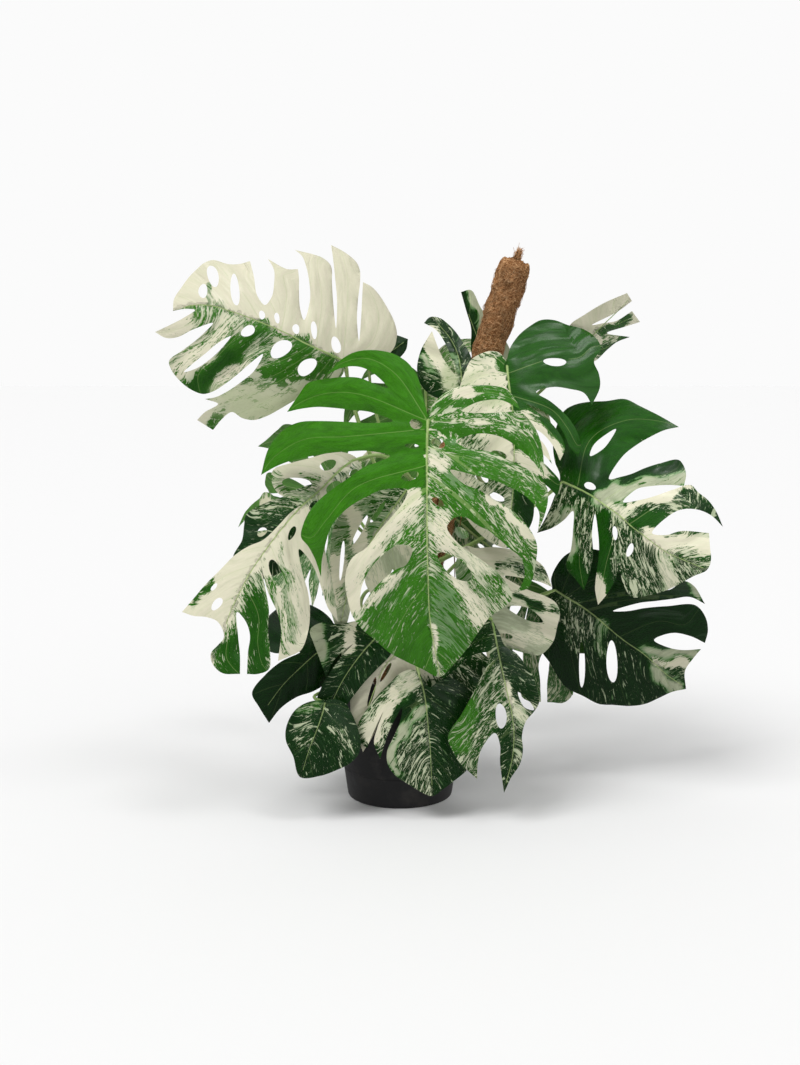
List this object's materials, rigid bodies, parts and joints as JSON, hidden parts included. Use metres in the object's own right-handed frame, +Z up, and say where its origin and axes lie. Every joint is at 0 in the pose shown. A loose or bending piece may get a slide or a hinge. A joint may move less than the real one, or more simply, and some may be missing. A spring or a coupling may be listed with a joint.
{
  "type": "variegated monstera plant on a coir pole in a pot",
  "caption": "Large white-variegated monstera with split, holed leaves, climbing a leaning coir pole in a round black nursery pot that stands on a flat base.",
  "frame": {"origin": "centre of the pot's flat base, on the surface that the pot stands on", "axes": "+Z up; the plant shows its front, with the largest leaf, towards -Y; the pole leans towards +X"},
  "size_m": [1.1101, 0.7652, 1.1466],
  "materials": {
    "leaf": "satin",
    "stem": "satin",
    "coir": "matte",
    "pole_core": "satin",
    "soil": "matte",
    "pot": "satin"
  },
  "bodies": {
    "root": {"leaf_front": "leaf", "leaf_upper_left": "leaf", "leaf_lower_left": "leaf", "leaf_behind_left": "leaf", "leaf_upper_right": "leaf", "leaf_right": "leaf", "leaf_lower_right": "leaf", "leaf_mid_right": "leaf", "leaf_bottom_right": "leaf", "leaf_bottom_centre": "leaf", "leaf_bottom_left": "leaf", "leaf_low_left_rear": "leaf", "leaf_low_left_front": "leaf", "leaf_low_centre_rear": "leaf", "leaf_mid_left": "leaf", "leaf_top": "leaf", "leaf_top_rear": "leaf", "leaf_far_right": "leaf", "leaf_small_rear": "leaf", "leaf_rear_left": "leaf", "leaf_rear_middle": "leaf", "leaf_rear_right": "leaf", "leaf_rear_low": "leaf", "stem": "stem", "coir_pole": "coir", "pole_core": "pole_core", "soil": "soil", "pot": "pot"}
  },
  "joints": []
}
